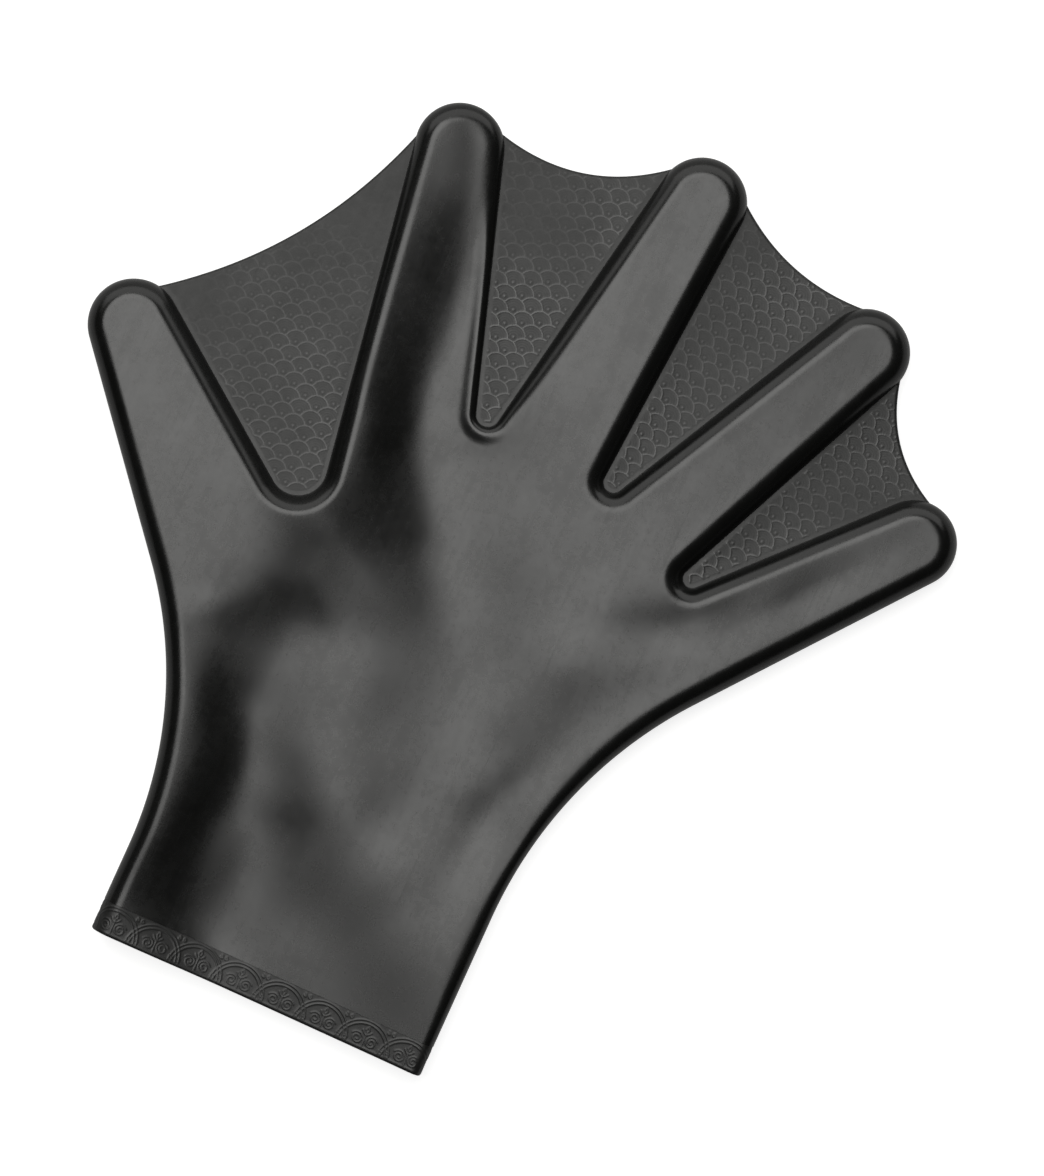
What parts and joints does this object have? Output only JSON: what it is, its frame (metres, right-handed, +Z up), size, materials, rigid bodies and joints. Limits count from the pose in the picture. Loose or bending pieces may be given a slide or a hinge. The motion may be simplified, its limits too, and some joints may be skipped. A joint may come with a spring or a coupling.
{
  "type": "webbed swim glove",
  "caption": "Moulded silicone swim glove with hollow finger stalls, patterned webs between the fingers and an embossed band round its open cuff.",
  "frame": {"origin": "under the middle of the palm, on the flat face that the glove rests on, below the point where the axes of the five stalls meet", "axes": "+Y from the wrist to the fingers, +X towards the little finger, +Z up through the back of the glove"},
  "size_m": [0.2191, 0.2351, 0.013],
  "materials": {
    "silicone_skin": "satin black silicone, softly mottled",
    "silicone_web": "matte black silicone with raised overlapping scales",
    "silicone_band": "matte black silicone with raised interlaced arches"
  },
  "bodies": {
    "root": {"palm": "silicone_skin", "thumb_stall": "silicone_skin", "index_stall": "silicone_skin", "middle_stall": "silicone_skin", "ring_stall": "silicone_skin", "little_stall": "silicone_skin", "web_thumb_index": "silicone_web", "web_index_middle": "silicone_web", "web_middle_ring": "silicone_web", "web_ring_little": "silicone_web", "cuff_band": "silicone_band"}
  },
  "joints": []
}
